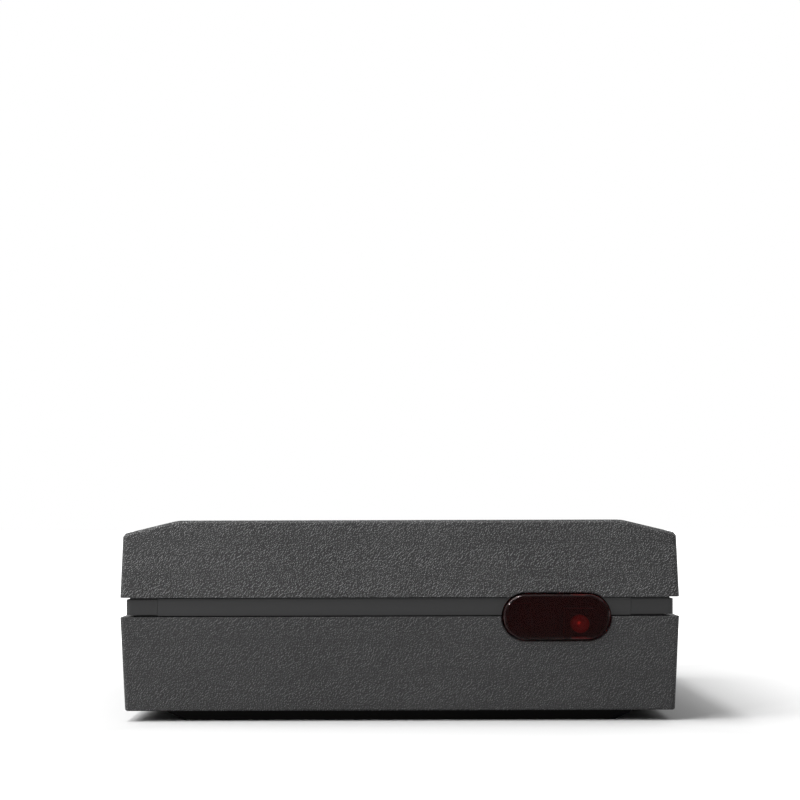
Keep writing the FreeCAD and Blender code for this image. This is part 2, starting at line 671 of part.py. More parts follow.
def make_bottom_case():
    body = new_body("bottom_case")
    profile = new_sketch(body, "XZ")
    low_half = f"({HALF_WIDTH} - bottom_height * tan(side_draft))"
    outline(profile, [
        (f"-{low_half}", UNDERSIDE),
        (low_half, UNDERSIDE),
        (HALF_WIDTH, RIM),
        (f"-{HALF_WIDTH}", RIM),
    ])
    pad(body, profile, "case_depth", both_ways=True)
    lean_ends(body, HALF_DEPTH, RIM, UNDERSIDE, "bottom_height * tan(side_draft)")
    hollow(body, RIM)
    rim, underside, side = number(RIM), number(UNDERSIDE), number(low_half)
    front = number(f"{HALF_DEPTH} - bottom_height * tan(side_draft)")
    round_off(body, "corner_radius", lambda m: underside + NEAR < m.z < rim - NEAR and abs(m.y) > front)
    bevel(body, "low_bevel",
          lambda m: m.z < underside + NEAR and (abs(m.x) > side - 1 or abs(m.y) > front - 1))
    cut_openings(body)
    inside_floor = f"({UNDERSIDE} + case_wall / 2)"
    sill = new_sketch(body, "YZ")
    outline(sill, [
        (f"{PANEL_IN} - groove_lip", inside_floor),
        (WALL_INSIDE, inside_floor),
        (WALL_INSIDE, OPENING_LOW),
        (f"{PANEL_OUT} + panel_play", OPENING_LOW),
        (f"{PANEL_OUT} + panel_play", f"{OPENING_LOW} - groove_depth"),
        (f"{PANEL_IN} - panel_play", f"{OPENING_LOW} - groove_depth"),
        (f"{PANEL_IN} - panel_play", OPENING_LOW),
        (f"{PANEL_IN} - groove_lip", OPENING_LOW),
    ])
    pad(body, sill, f"2 * ({PANEL_END} + panel_play)", both_ways=True)
    bosses = new_sketch(body, "XY", inside_floor)
    for x, y in POSTS:
        square(bosses, x, y, "boss_half")
    pad(body, bosses, f"{BOSS_TOP} - {inside_floor}")
    standoffs = new_sketch(body, "XY", inside_floor)
    for x, y in BOARD_SCREWS:
        square(standoffs, x, y, "standoff_half")
    pad(body, standoffs, f"{BOARD_LOW} - {inside_floor}")
    wells = new_sketch(body, "XY", UNDERSIDE)
    for x, y in POSTS:
        circle(wells, x, y, "well_radius")
    pocket(body, wells, "well_depth", backwards=True)
    screw_holes = new_sketch(body, "XY", UNDERSIDE)
    for x, y in POSTS:
        octagon(screw_holes, x, y, "screw_radius + screw_play")
    pocket(body, screw_holes, "boss_height + 1", backwards=True)
    pilots = new_sketch(body, "XY", BOARD_LOW)
    for x, y in BOARD_SCREWS:
        octagon(pilots, x, y, "board_screw_radius + thread_play")
    pocket(body, pilots, "board_screw_length - board_thickness + pilot_extra")


def make_foot_pad():
    body = new_body("foot_pad")
    profile = new_sketch(body, "XZ")
    outline(profile, [
        (f"foot_slope - {FOOT_SIDE}", "0"),
        (f"{FOOT_SIDE} - foot_slope", "0"),
        (FOOT_SIDE, UNDERSIDE),
        (f"-{FOOT_SIDE}", UNDERSIDE),
    ])
    pad(body, profile, f"2 * {FOOT_FRONT}", both_ways=True)
    lean_ends(body, FOOT_FRONT, UNDERSIDE, "0", "foot_front_slope")
    middle = number(UNDERSIDE) / 2
    bevel(body, "foot_corner", lambda m: abs(m.z - middle) < NEAR)
    holes = new_sketch(body, "XY")
    for x, y in POSTS:
        circle(holes, x, y, "foot_hole_radius")
    pocket(body, holes, "foot_height + 1", backwards=True)


# Belt between the shells


def make_belt_frame():
    body = new_body("belt_frame")
    tongue = new_sketch(body, "XY", FRAME_LOW)
    seat = f"({INNER_FRONT} - strip_backing)"
    inside = f"({INNER_SIDE} - frame_wall)"
    rear_end = f"({PANEL_END} + panel_play)"
    outline(tongue, [
        (f"-{rear_end}", INNER_FRONT),
        (f"-{INNER_SIDE}", INNER_FRONT),
        (f"-{INNER_SIDE}", f"-{INNER_FRONT}"),
        (f"-{STRIP_LEFT}", f"-{INNER_FRONT}"),
        (f"-{STRIP_LEFT}", f"-{seat}"),
        (STRIP_RIGHT, f"-{seat}"),
        (STRIP_RIGHT, f"-{INNER_FRONT}"),
        (INNER_SIDE, f"-{INNER_FRONT}"),
        (INNER_SIDE, INNER_FRONT),
        (rear_end, INNER_FRONT),
        (rear_end, FRAME_BACK),
        (inside, FRAME_BACK),
        (inside, f"-{FRAME_BACK}"),
        (f"-{inside}", f"-{FRAME_BACK}"),
        (f"-{inside}", FRAME_BACK),
        (f"-{rear_end}", FRAME_BACK),
    ])
    pad(body, tongue, f"{FRAME_HIGH} - {FRAME_LOW}")
    belt = new_sketch(body, "XY", f"{RIM} + belt_gap")
    root = "frame_play"
    for side, strip_end in (("-", STRIP_LEFT), ("", STRIP_RIGHT)):
        outline(belt, [
            (f"{side}{OPENING_END}", BELT_FRONT),
            (f"{side}{BELT_SIDE}", BELT_FRONT),
            (f"{side}{BELT_SIDE}", f"-{BELT_FRONT}"),
            (f"{side}{strip_end}", f"-{BELT_FRONT}"),
            (f"{side}{strip_end}", f"-({INNER_FRONT} - {root})"),
            (f"{side}({INNER_SIDE} - {root})", f"-({INNER_FRONT} - {root})"),
            (f"{side}({INNER_SIDE} - {root})", f"{INNER_FRONT} - {root}"),
            (f"{side}{rear_end}", f"{INNER_FRONT} - {root}"),
            (f"{side}{rear_end}", INNER_FRONT),
            (f"{side}{OPENING_END}", INNER_FRONT),
        ])
    pad(body, belt, "belt_height - belt_gap")
    side, front = number(BELT_SIDE), number(BELT_FRONT)
    round_off(body, "corner_radius", lambda m: abs(m.x) > side - NEAR and abs(m.y) > front - NEAR)
    step = new_sketch(body, "XY", f"{LIP} - belt_step_height")
    for side, front in ((f"({BELT_SIDE} + 1)", f"({BELT_FRONT} + 1)"),
                        (f"({BELT_SIDE} - belt_step)", f"({BELT_FRONT} - belt_step)")):
        rectangle(step, f"-{side}", side, f"-{front}", front)
    pocket(body, step, "belt_step_height", backwards=True)
    hole = new_sketch(body, "XZ", f"-{INNER_FRONT}")
    window_outline(hole, "lens_play")
    pocket(body, hole, "frame_wall + 1")


def make_front_strip():
    body = new_body("front_strip")
    backing = new_sketch(body, "XZ", f"-({INNER_FRONT} - strip_backing)")
    left, right = f"-({STRIP_LEFT} - strip_play)", f"({STRIP_RIGHT} - strip_play)"
    rectangle(backing, left, right, FRAME_LOW, FRAME_HIGH)
    pad(body, backing, "strip_backing")
    nose = new_sketch(body, "XZ", f"-{INNER_FRONT}")
    rectangle(nose, left, right, f"{RIM} + strip_gap", LIP)
    pad(body, nose, f"{BELT_FRONT} - {INNER_FRONT}")
    step = new_sketch(body, "XZ", f"-({BELT_FRONT} - belt_step)")
    rectangle(step, f"{left} - 1", f"{right} + 1", f"{LIP} - strip_step_height", f"{LIP} + 1")
    pocket(body, step, "belt_step + 1", backwards=True)
    hole = new_sketch(body, "XZ", f"-({BELT_FRONT} + 1)")
    window_outline(hole, "lens_play")
    pocket(body, hole, "case_wall + frame_wall + 1")


def make_lens_window():
    body = new_body("lens_window")
    window = new_sketch(body, "XZ", f"-{FRAME_BACK}")
    window_outline(window, "0")
    pad(body, window, f"{HALF_DEPTH} + lens_proud - {FRAME_BACK}")
    front, edge = -number(f"{HALF_DEPTH} + lens_proud"), number("lens_edge")
    bevel(body, "lens_edge", lambda m: abs(m.y - front) < NEAR)
    bevel(body, "lens_blend", lambda m: abs(m.y - front) < NEAR or abs(m.y - front - edge) < NEAR)
    flange = new_sketch(body, "XZ", f"-{FRAME_BACK}")
    rectangle(flange, *span(LENS_X, "lens_width / 2 + lens_flange"),
              *span(LENS_LEVEL, "lens_height / 2 + lens_flange"))
    pad(body, flange, "flange_thickness", backwards=True)


# Fasteners


def case_screw(name, x, y):
    """A pan-head screw in its well, pointing up, with a cross recess in its head."""
    seat = "(foot_height + well_depth)"
    outside = f"({seat} - screw_head_height)"
    body = join(name + "_solid", [
        upright_rod(name + "_head", x, y, (outside, seat), "screw_head"),
        prism(name + "_shank", x, y, (seat, f"{seat} + screw_length"), "screw_radius"),
    ])
    recess = (f"{outside} - screw_recess", f"{outside} + screw_recess")
    across = centred_block(name + "_slot_a", x, y, recess, "recess_length", "recess_width")
    along = centred_block(name + "_slot_b", x, y, recess, "recess_width", "recess_length")
    return cut(name, body, join(name + "_cross", [across, along]))


def board_screw(name, x, y):
    """A hexagon-head screw, pointing down."""
    head = (BOARD_TOP, f"{BOARD_TOP} + board_screw_head_height")
    shank = (f"{BOARD_TOP} - board_screw_length", BOARD_TOP)
    return join(name, [
        prism(name + "_head", x, y, head, "board_screw_head", sides=6),
        prism(name + "_shank", x, y, shank, "board_screw_radius"),
    ])


def make_screws():
    case_screws = [case_screw(f"case_screw_{i}", x, y) for i, (x, y) in enumerate(POSTS, start=1)]
    keep("case_screws", group("case_screws", case_screws))
    board_screws = [board_screw(f"board_screw_{i}", x, y) for i, (x, y) in enumerate(BOARD_SCREWS, start=1)]
    keep("board_screws", group("board_screws", board_screws))


# Boards and what is on them


def make_main_board():
    body = new_body("main_board")
    sheet = new_sketch(body, "XY", BOARD_LOW)
    rectangle(sheet, f"-{BOARD_SIDE}", BOARD_SIDE, BOARD_FRONT, BOARD_REAR)
    for x, y in POSTS:
        square(sheet, x, y, "(boss_half + board_post_gap)")
    for x, y in BOARD_SCREWS:
        octagon(sheet, x, y, "board_screw_radius + screw_play")
    pad(body, sheet, "board_thickness")


def make_lamp(face, rear):
    """The lamp, its two leads through the indicator board and the black sleeve that holds it."""
    base, tip = f"(-{LAMP_BASE})", f"(lamp_gap - {LENS_BACK})"
    lamp = new_body("status_lamp")
    section = new_sketch(lamp, "YZ")
    # the dome is cut in flats, the first of them square to its axis
    dome = [
        (f"{tip} + lamp_radius * (1 - cos({angle}))", f"lamp_radius * sin({angle})")
        for angle in (18, 42, 66, 90)
    ]
    flat_tip = (f"{tip} + lamp_radius * (1 - cos(18))", "0")
    outline(section, [flat_tip] + dome + [(base, "lamp_radius"), (base, "0")])
    revolve(lamp, section)
    leads = new_sketch(lamp, "XZ", base)
    for side in ("-", ""):
        square(leads, f"{side}lead_pitch / 2", "0", "lead_half")
    pad(lamp, leads, f"{rear} + lead_end - {base}", backwards=True)
    place(lamp, LAMP_X, "0", LAMP_LEVEL)
    sleeve = new_body("lamp_sleeve")
    sheet = new_sketch(sleeve, "XZ", face)
    square(sheet, LAMP_X, LAMP_LEVEL, "sleeve_half")
    circle(sheet, LAMP_X, LAMP_LEVEL, "lamp_radius + sleeve_play")
    pad(sleeve, sheet, "sleeve_length + sleeve_hold")


def make_indicator():
    face = f"(-{INDICATOR_FACE})"
    rear = f"({face} + board_thickness)"
    middle = f"({LENS_X} + indicator_shift)"
    board = new_body("indicator_board")
    sheet = new_sketch(board, "XZ", face)
    rectangle(sheet, *span(middle, "indicator_width / 2"), BOARD_TOP, f"{BOARD_TOP} + indicator_height")
    for sign in "-+":
        square(sheet, f"({LAMP_X} {sign} lead_pitch / 2)", LAMP_LEVEL, "(lead_half + thread_play)")
    pad(board, sheet, "board_thickness", backwards=True)
    make_lamp(face, rear)
    receiver_x = f"({LENS_X} - receiver_across)"
    receiver = centred_block("receiver_body", receiver_x, f"({face} - receiver_depth / 2)",
                             span(LENS_LEVEL, "receiver_height / 2"), "receiver_width", "receiver_depth")
    bow = upright_rod("receiver_lens", receiver_x, f"{face} - receiver_depth",
                      span(LENS_LEVEL, "receiver_bow"), "receiver_bow")
    keep("infrared_receiver", join("infrared_receiver", [receiver, bow]))
    header = f"({middle} - header_across)"
    header_levels = (BOARD_TOP, f"{BOARD_TOP} + pin_pitch")
    housing = centred_block("header_housing", header, f"({rear} + pin_pitch / 2)", header_levels,
                            f"({HEADER_PINS} * pin_pitch)", "pin_pitch")
    pin_levels = span(f"({BOARD_TOP} + pin_pitch / 2)", "pin_side / 2")
    pin_length = "(pin_pitch + pin_end)"
    pins = [
        centred_block(f"header_pin_{i}", f"({header} + {i - HEADER_PINS // 2} * pin_pitch)",
                      f"({rear} + {pin_length} / 2)", pin_levels, "pin_side", pin_length)
        for i in range(HEADER_PINS)
    ]
    keep("indicator_header", join("indicator_header", [housing] + pins))


def make_radio():
    left, right = MODULE_LEFT, MODULE_RIGHT
    low, high = "(-module_length / 2)", "(module_length / 2)"
    top = f"({BOARD_TOP} + module_thickness)"
    keep("radio_module", block("radio_module", (left, right), (low, high), (BOARD_TOP, top)))
    can_left = f"({left} + (module_width - can_width) / 2)"
    can_low = f"({high} - can_length - can_wall)"
    body = new_body("shield_can")
    sheet = new_sketch(body, "XY", top)
    rectangle(sheet, can_left, f"{can_left} + can_width", can_low, f"{can_low} + can_length")
    pad(body, sheet, "can_height")
    room = new_sketch(body, "XY", top)
    rectangle(room, f"{can_left} + can_wall", f"{can_left} + can_width - can_wall",
              f"{can_low} + can_wall", f"{can_low} + can_length - can_wall")
    pocket(body, room, "can_height - can_wall", backwards=True)
    front = f"({BOARD_FRONT} + antenna_inset)"
    back = f"({front} + antenna_depth)"
    level = f"({BOARD_TOP} + antenna_height)"
    sheet_levels = (level, f"{level} + antenna_sheet")
    plate = block("antenna_top", (left, f"{left} + antenna_width"), (front, back), sheet_levels)
    legs = []
    for i in range(2):
        leg_right = f"({left} + antenna_width - {i} * antenna_leg_pitch)"
        legs.append(block(f"antenna_leg_{i}", (f"{leg_right} - antenna_leg", leg_right),
                          (f"{back} - antenna_sheet", back), (BOARD_TOP, level)))
    keep("antenna_plate", join("antenna_plate", [plate] + legs))


def make_chips():
    converter_x = f"({MODULE_RIGHT} + converter_gap + converter_width / 2)"
    for name, part, across, width, length in (
        ("signal_processor", "processor", "processor_across", "processor_side", "processor_side"),
        ("audio_converter", "converter", converter_x, "converter_width", "converter_length"),
        ("crystal", "crystal", "crystal_across", "crystal_length", "crystal_width"),
        ("power_choke", "choke", "choke_across", "choke_side", "choke_side"),
    ):
        levels = (BOARD_TOP, f"{BOARD_TOP} + {part}_height")
        keep(name, centred_block(name, across, f"{part}_along", levels, width, length))


def make_regulator():
    across, along = "regulator_across", "regulator_along"
    legs_top = f"({BOARD_TOP} + leg_length)"
    body_top = f"({legs_top} + regulator_body)"
    tab_top = f"({body_top} + tab_height)"
    legs = [
        centred_block(f"regulator_leg_{i}", f"({across} + {i - 1} * pin_pitch)", along, (BOARD_TOP, legs_top),
                      "leg_width", "leg_thickness")
        for i in range(3)
    ]
    moulding = centred_block("regulator_moulding", across, along, (legs_top, body_top),
                             "regulator_width", "regulator_depth")
    tab = centred_block("regulator_tab", across, f"({along} + regulator_depth / 2 - tab_thickness / 2)",
                        (body_top, tab_top), "regulator_width", "tab_thickness")
    hole = level_rod("regulator_hole", across, (along, f"{along} + regulator_depth"),
                     f"{body_top} + tab_height / 2", "tab_hole")
    holed_tab = cut("regulator_holed_tab", tab, hole)
    keep("voltage_regulator", join("voltage_regulator", legs + [moulding, holed_tab]))


def make_capacitors():
    levels = (BOARD_TOP, f"{BOARD_TOP} + power_can_height")
    power = [
        prism(f"power_capacitor_{i}", f"({BOARD_SIDE} - power_can_inset - {1 - i} * power_can_pitch)",
              "power_can_along", levels, "power_can_radius", sides=24)
        for i in range(2)
    ]
    keep("power_capacitors", group("power_capacitors", power))
    levels = (BOARD_TOP, f"{BOARD_TOP} + film_height")
    signal = [
        centred_block(f"signal_capacitor_{i}", f"(({i} - 1.5) * film_pitch - film_across)", "film_along",
                      levels, "film_width", "film_length")
        for i in range(4)
    ]
    keep("signal_capacitors", group("signal_capacitors", signal))


# Rear panel, sockets and controls


def lever_slot(sketch):
    """The slot in which the channel switch's lever slides, with its travel and play."""
    end = "(lever_width / 2 + channel_travel + slide_play)"
    half = "(lever_height / 2 + slide_play)"
    rectangle(sketch, *span(CHANNEL_X, end), *span(CONTROL_LEVEL, half))


def make_rear_panel():
    body = new_body("rear_panel")
    sheet = new_sketch(body, "XZ", PANEL_OUT)
    rectangle(sheet, f"-{PANEL_END}", PANEL_END, f"{OPENING_LOW} - groove_depth + panel_play",
              f"{OPENING_HIGH} + groove_depth - panel_play")
    for x in PHONO_X:
        circle(sheet, x, PHONO_LEVEL, "ring_radius + ring_play")
    circle(sheet, INLET_X, INLET_LEVEL, "inlet_nose + nose_play")
    circle(sheet, BUTTON_X, CONTROL_LEVEL, "button_radius + button_play")
    lever_slot(sheet)
    pad(body, sheet, "panel_thickness")


def make_phono_sockets():
    body = new_body("phono_housing")
    sheet = new_sketch(body, "XZ", PANEL_IN)
    rectangle(sheet, f"{PHONO_X[0]} - phono_block_side", f"{PHONO_X[1]} + phono_block_side", BOARD_TOP,
              f"{BOARD_TOP} + phono_block_height")
    pad(body, sheet, "phono_block_depth")
    seats = new_sketch(body, "XZ", PANEL_IN)
    for x in PHONO_X:
        circle(seats, x, PHONO_LEVEL, "ring_radius + insert_play")
    pocket(body, seats, "insert_length - ring_proud - panel_thickness", backwards=True)
    # turned pieces, in the YZ plane about the Y axis; y = 0 is the face of the coloured ring
    slot_outer = "(barrel_radius - barrel_root + insert_play)"
    core = "(barrel_radius - barrel_wall - insert_play)"
    core_end = "(barrel_length - core_short)"
    socket = "(contact_radius + contact_wall + insert_play)"
    contact_end = "(barrel_length - contact_short)"
    contact_back = f"({contact_end} - contact_length)"
    for side, x in zip(("right", "left"), PHONO_X):
        insert = new_body(f"phono_insert_{side}")
        section = new_sketch(insert, "YZ")
        outline(section, [
            ("-insert_length", "0"),
            (contact_back, "0"),
            (contact_back, socket),
            (core_end, socket),
            (core_end, core),
            ("-root_length", core),
            ("-root_length", slot_outer),
            ("0", slot_outer),
            ("0", "ring_radius"),
            ("-insert_length", "ring_radius"),
        ])
        revolve(insert, section)
        barrel = new_body(f"phono_barrel_{side}")
        section = new_sketch(barrel, "YZ")
        outline(section, [
            ("-root_length", "barrel_radius - barrel_wall"),
            ("barrel_length", "barrel_radius - barrel_wall"),
            ("barrel_length", "barrel_radius"),
            ("0", "barrel_radius"),
            ("0", "barrel_radius - barrel_root"),
            ("-root_length", "barrel_radius - barrel_root"),
        ])
        revolve(barrel, section)
        contact = new_body(f"phono_contact_{side}")
        section = new_sketch(contact, "YZ")
        outline(section, [
            (contact_back, "0"),
            (f"{contact_back} + contact_floor", "0"),
            (f"{contact_back} + contact_floor", "contact_radius"),
            (contact_end, "contact_radius"),
            (contact_end, "contact_radius + contact_wall"),
            (contact_back, "contact_radius + contact_wall"),
        ])
        revolve(contact, section)
        for piece in (insert, barrel, contact):
            place(piece, x, f"{PANEL_OUT} + ring_proud", PHONO_LEVEL)


def make_inlet():
    body = new_body("inlet_housing")
    sheet = new_sketch(body, "XZ", PANEL_IN)
    rectangle(sheet, *span(INLET_X, "inlet_width / 2"), BOARD_TOP, f"{BOARD_TOP} + inlet_height")
    pad(body, sheet, "inlet_depth")
    nose = new_sketch(body, "XZ", PANEL_IN)
    circle(nose, INLET_X, INLET_LEVEL, "inlet_nose")
    pad(body, nose, "panel_thickness", backwards=True)
    bore = new_sketch(body, "XZ", PANEL_OUT)
    circle(bore, INLET_X, INLET_LEVEL, "inlet_bore")
    pocket(body, bore, "inlet_bore_depth", backwards=True)
    pin_hole = new_sketch(body, "XZ", PANEL_OUT)
    circle(pin_hole, INLET_X, INLET_LEVEL, "inlet_pin + insert_play")
    pocket(body, pin_hole, "inlet_depth + panel_thickness + 1", backwards=True)
    rear = f"({PANEL_IN} - inlet_depth)"
    end = f"({PANEL_OUT} - inlet_pin_short)"
    pin = new_body("inlet_pin")
    section = new_sketch(pin, "YZ")
    outline(section, [
        (rear, "0"),
        (rear, "inlet_pin"),
        (f"{end} - inlet_pin / 2", "inlet_pin"),
        (end, "inlet_pin / 2"),
        (end, "0"),
    ])
    revolve(pin, section)
    place(pin, INLET_X, "0", INLET_LEVEL)


def make_channel_switch():
    face = PANEL_IN
    front = f"({face} - frame_plate)"
    body = new_body("channel_switch_body")
    sheet = new_sketch(body, "XZ", front)
    case_outline = (*span(CHANNEL_X, "channel_width / 2"), BOARD_TOP, f"{BOARD_TOP} + 2 * control_level")
    rectangle(sheet, *case_outline)
    pad(body, sheet, "channel_depth - frame_plate")
    room = new_sketch(body, "XZ", front)
    room_end = "(lever_width / 2 + carriage_extra + channel_travel + slide_play)"
    rectangle(room, *span(CHANNEL_X, room_end), *span(CONTROL_LEVEL, "carriage_height / 2 + slide_play"))
    pocket(body, room, "carriage_depth + 2 * slide_play", backwards=True)
    plate = new_body("channel_switch_frame")
    sheet = new_sketch(plate, "XZ", face)
    rectangle(sheet, *case_outline)
    lever_slot(sheet)
    pad(plate, sheet, "frame_plate")
    lever = new_body("channel_switch_lever")
    carriage_face = f"({front} - slide_play)"
    sheet = new_sketch(lever, "XZ", carriage_face)
    rectangle(sheet, *span(CHANNEL_X, "lever_width / 2 + carriage_extra"),
              *span(CONTROL_LEVEL, "carriage_height / 2"))
    pad(lever, sheet, "carriage_depth")
    stem = new_sketch(lever, "XZ", carriage_face)
    rectangle(stem, *span(CHANNEL_X, "lever_width / 2"), *span(CONTROL_LEVEL, "lever_height / 2"))
    pad(lever, stem, f"{PANEL_OUT} + lever_proud - {carriage_face}", backwards=True)


def make_link_button():
    flange_front = f"({PANEL_IN} - button_play)"
    flange_back = f"({flange_front} - button_flange_thickness)"
    tact_front = f"({flange_back} - button_travel - button_play)"
    button = new_body("link_button")
    section = new_sketch(button, "YZ")
    end = f"({PANEL_OUT} + button_proud)"
    outline(section, [
        (flange_back, "0"),
        (end, "0"),
        (end, "button_radius - button_edge"),
        (f"{end} - button_edge", "button_radius"),
        (flange_front, "button_radius"),
        (flange_front, "button_radius + button_flange"),
        (flange_back, "button_radius + button_flange"),
    ])
    revolve(button, section)
    place(button, BUTTON_X, "0", CONTROL_LEVEL)
    plunger = centred_block("link_plunger", BUTTON_X, f"({flange_back} - plunger_length / 2)",
                            span(CONTROL_LEVEL, "plunger_half"), "(2 * plunger_half)", "plunger_length")
    keep("link_plunger", plunger)
    body = new_body("link_switch_body")
    sheet = new_sketch(body, "XZ", tact_front)
    rectangle(sheet, *span(BUTTON_X, "tact_side / 2"), BOARD_TOP, f"{BOARD_TOP} + 2 * control_level")
    pad(body, sheet, "tact_depth")
    bore = new_sketch(body, "XZ", tact_front)
    square(bore, BUTTON_X, CONTROL_LEVEL, "(plunger_half + button_play)")
    pocket(body, bore, "plunger_length", backwards=True)


def check_and_write():
    DOC.recompute()
    for thing in DOC.Objects:
        bad = [word for word in thing.State if word in ("Invalid", "Error")]
        if bad:
            raise RuntimeError(f"{thing.Name} is {bad}")
    for name, thing in PIECES.items():
        if thing.Shape.isNull() or not thing.Shape.isValid() or not thing.Shape.Solids:
            raise RuntimeError(f"{name} has no valid solid")
    os.makedirs("parts", exist_ok=True)
    for name, thing in PIECES.items():
        thing.Shape.exportStep(f"parts/{name}.step")
        print(f"{name}: {len(thing.Shape.Solids)} solids, {thing.Shape.Volume:.1f} mm3")


make_top_cover()
make_bottom_case()
make_foot_pad()
make_belt_frame()
make_front_strip()
make_lens_window()
make_screws()
make_main_board()
make_indicator()
make_radio()
make_chips()
make_regulator()
make_capacitors()
make_rear_panel()
make_phono_sockets()
make_inlet()
make_channel_switch()
make_link_button()
check_and_write()
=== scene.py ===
import json
import math

import bpy
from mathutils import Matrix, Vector


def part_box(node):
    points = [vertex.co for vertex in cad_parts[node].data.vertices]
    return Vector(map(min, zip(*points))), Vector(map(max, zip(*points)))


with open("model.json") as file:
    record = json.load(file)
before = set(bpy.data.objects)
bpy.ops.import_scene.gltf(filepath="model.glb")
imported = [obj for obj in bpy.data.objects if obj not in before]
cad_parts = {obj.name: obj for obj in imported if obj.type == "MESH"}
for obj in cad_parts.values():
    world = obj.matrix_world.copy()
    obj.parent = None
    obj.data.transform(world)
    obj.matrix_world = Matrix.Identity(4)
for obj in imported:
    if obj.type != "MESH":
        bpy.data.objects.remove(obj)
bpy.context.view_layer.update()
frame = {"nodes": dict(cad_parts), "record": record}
scene = bpy.context.scene

# In the photograph's pixels: its width, the focal length, the horizon's row and the centre's column
PICTURE, FOCAL, HORIZON, CENTRE = 800, 2009, 520.0, 399.5

# The camera's sensor in millimetres, its roll in degrees, and its place and nearest sight in metres
SENSOR, ROLL, EYE, NEAREST = 36.0, 0.15, (0.0, -0.376, 0.0331), 0.005

# The grain of the moulded shells, in metres: along a streak, through the wall and across a streak
STREAK = (0.00031, 0.00024, 0.000115)
STREAK_LEAN = -45
STREAK_TWIST = 0.2

# The same streaks a step along the light from the upper left: their difference, spread into the colour,
# is painted relief shading, with each streak's flank toward the light lighter and the other darker
ALONG_LIGHT = (-0.000112, 0.0, 0.000112)
GRIT, GRIT_SHARE = 0.00011, 0.30
CLOUD, CLOUD_SHARE = 0.022, 0.25
# How much duller the shaded flanks and glossier the lit flanks are, and the shaded flanks' share of the
# specular
SHADED_FLANK_DULLER, LIT_FLANK_GLOSSIER, SHADED_FLANK_SPECULAR = 0.10, 0.08, 0.25

# Other features of the surfaces, in metres
BROAD, FINE, FINE_SHARE = 0.012, 0.0005, 0.5
RING, RING_SHARE, RING_DEPTH = (0.004, 0.00012, 0.004), 0.3, 0.000003
SPOT = 0.0011
TRACK, TRACK_DEPTH, WEAVE = (0.0022, 0.0022, 0.0022), 0.00002, 0.0006
WINDOW_HAZE, WINDOW_DEPTH, LAMP_HAZE = 0.0016, 0.000002, 0.0009

# How much a plain or turned surface's roughness goes down and up
GLOSSIER, DULLER = 0.06, 0.08

# Where a noise is taken as low and as high
HAZE_RANGE = (0.3, 0.7)
SPOT_RANGE, SPOT_GLOSS_RANGE = (0.4, 0.7), (0.4, 0.9)
TONE_RANGE, TONE_GLOSS_RANGE = (0.45, 1.05), (0.4, 1.1)
TRACK_RANGE = (0.30, 0.36)

# The window's mirror tint on its face and on its rounded edge, and how far the wall has turned there
FACE_TINT, EDGE_TINT = (0.075, 0.06, 0.06), (0.55, 0.50, 0.50)
EDGE_TURN = (-0.96, -0.80)

# A painted highlight on the unlit lamp, made as a glow: its place from the middle, its inner and outer
# radius, and the glow in it and off it, which is the painted glow over the rest of the lamp
HIGHLIGHT_SIDE, HIGHLIGHT_UP = -0.00040, 0.00030
HIGHLIGHT_RADII = (0.00010, 0.00038)
PAINTED_HIGHLIGHT_GLOW, PAINTED_LAMP_GLOW = 1.1, 0.095

# The floor: its colour for scattered light and as it is seen, and where its glow begins and is full
FLOOR_HALF = 6.0
FLOOR_SCATTER, FLOOR_SEEN = (0.38, 0.38, 0.38), (0.57, 0.57, 0.57)
GLOW_RANGE = (0.0415, 0.185)
FRONT_SHADE = 0.012

WHITE = (1.0, 1.0, 1.0, 1.0)
ROOM_LIGHT = 0.28
NO_SHIFT = (0.0, 0.0, 0.0)


def add(tree, kind, inputs=None, **settings):
    """Adds one node. An input is a socket to link from, or a constant for the node's own socket."""
    made = tree.nodes.new("ShaderNode" + kind)
    for name, value in settings.items():
        setattr(made, name, value)
    for name, value in (inputs or {}).items():
        if isinstance(value, bpy.types.NodeSocket):
            tree.links.new(value, made.inputs[name])
        else:
            made.inputs[name].default_value = value
    return made


def node(tree, kind, inputs=None, output=0, **settings):
    """Adds one node and gives one of its outputs."""
    return add(tree, kind, inputs, **settings).outputs[output]


def new_material(name):
    material = bpy.data.materials.new(name)
    material.use_nodes = True
    tree = material.node_tree
    tree.nodes.clear()
    return material, tree


def show(tree, shader):
    add(tree, "OutputMaterial", {"Surface": shader})


def principled(tree, inputs):
    show(tree, node(tree, "BsdfPrincipled", inputs))


def place_on(tree, sizes=(1.0, 1.0, 1.0), lean=0.0, shift=NO_SHIFT):
    """The object's own coordinates: shifted, turned about Y by lean degrees, and divided by sizes."""
    coordinates = node(tree, "TexCoord", output="Object")
    return node(tree, "Mapping", {"Vector": coordinates, "Scale": sizes, "Location": shift,
                                  "Rotation": (0.0, math.radians(lean), 0.0)}, vector_type="TEXTURE")


def noise(tree, sizes, detail=2.0, rough=0.5, lean=0.0, twist=0.0, shift=NO_SHIFT):
    if not isinstance(sizes, tuple):
        sizes = (sizes, sizes, sizes)
    return node(tree, "TexNoise", {"Vector": place_on(tree, sizes, lean, shift), "Scale": 1.0,
                                   "Detail": detail, "Roughness": rough, "Distortion": twist})


def spread(tree, value, low, high, to_low=0.0, to_high=1.0):
    """A value between low and high, spread over another range and held at its ends."""
    return node(tree, "MapRange", {"Value": value, "From Min": low, "From Max": high,
                                   "To Min": to_low, "To Max": to_high})


def mix(tree, factor, first, second):
    """Two plain colours mixed. The node's sockets go by number, because their names repeat."""
    return node(tree, "Mix", {0: factor, 6: (*first, 1.0), 7: (*second, 1.0)}, output=2,
                data_type="RGBA")


def reckon(tree, operation, *values, **settings):
    """A sum, a product or the like of its values."""
    return node(tree, "Math", dict(enumerate(values)), operation=operation, **settings)


def add_up(tree, first, second, share):
    """first + share x second"""
    return reckon(tree, "MULTIPLY_ADD", second, share, first)


